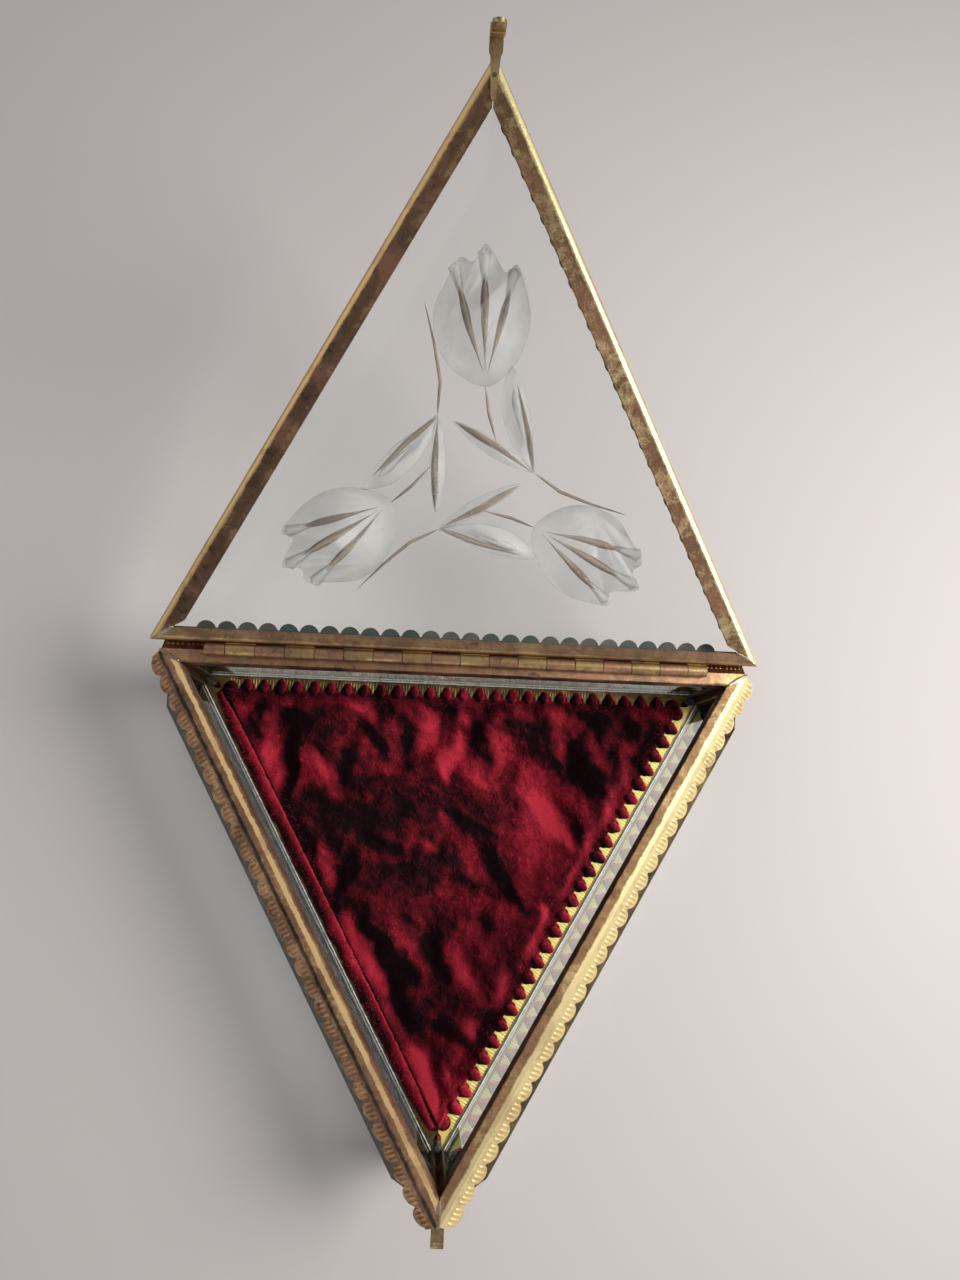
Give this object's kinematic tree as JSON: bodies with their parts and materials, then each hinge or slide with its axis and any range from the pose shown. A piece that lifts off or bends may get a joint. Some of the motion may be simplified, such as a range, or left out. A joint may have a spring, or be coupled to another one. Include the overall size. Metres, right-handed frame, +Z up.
{
  "type": "glass casket box",
  "caption": "Small triangular casket of bevelled glass in scalloped brass strip, with a hinged lid, a front clasp and a velvet cushion.",
  "frame": {"origin": "centre of the triangular underside of the box, on the surface it rests on", "axes": "+Z up, +Y towards the hinge side, -Y towards the front corner, +X to the right seen from the front"},
  "size_m": [0.103, 0.1747, 0.0717],
  "materials": {
    "base_brass": "dull brass sheet",
    "board": "plain card",
    "velvet": "crushed burgundy velvet",
    "tooth_brass": "bright gilt brass, finely ribbed",
    "wall_glass": "clear bevelled glass with a green edge",
    "strip_brass": "worn gilt brass with brown tarnish",
    "post_brass": "dark tarnished brass",
    "hinge_brass": "copper-brown tarnished brass",
    "pin_wire": "dull wire",
    "clasp_brass": "tarnished spring brass",
    "lid_glass": "clear bevelled glass, wheel engraved"
  },
  "bodies": {
    "casket": {"base_plate": "base_brass", "cushion_board": "board", "cushion": "velvet", "toothed_strip_back": "tooth_brass", "toothed_strip_left": "tooth_brass", "toothed_strip_right": "tooth_brass", "glass_back": "wall_glass", "glass_left": "wall_glass", "glass_right": "wall_glass", "rim_back": "strip_brass", "rim_left": "strip_brass", "rim_right": "strip_brass", "sill_back": "strip_brass", "sill_left": "strip_brass", "sill_right": "strip_brass", "corner_post_back_left": "post_brass", "corner_post_back_right": "post_brass", "corner_post_front": "post_brass", "hinge_leaf_box": "hinge_brass", "hinge_pin": "pin_wire", "clasp_catch": "clasp_brass"},
    "lid": {"lid_glass": "lid_glass", "lid_frame_back": "strip_brass", "lid_frame_left": "strip_brass", "lid_frame_right": "strip_brass", "hinge_leaf_lid": "hinge_brass", "clasp_tongue": "clasp_brass", "clasp_rivet": "clasp_brass"}
  },
  "joints": [
    {"name": "lid_hinge", "type": "hinge", "parent": "casket", "child": "lid", "pos_m": [0, 0.02887, 0.02567], "axis": [1, 0, 0], "range_deg": [0, 155]}
  ]
}
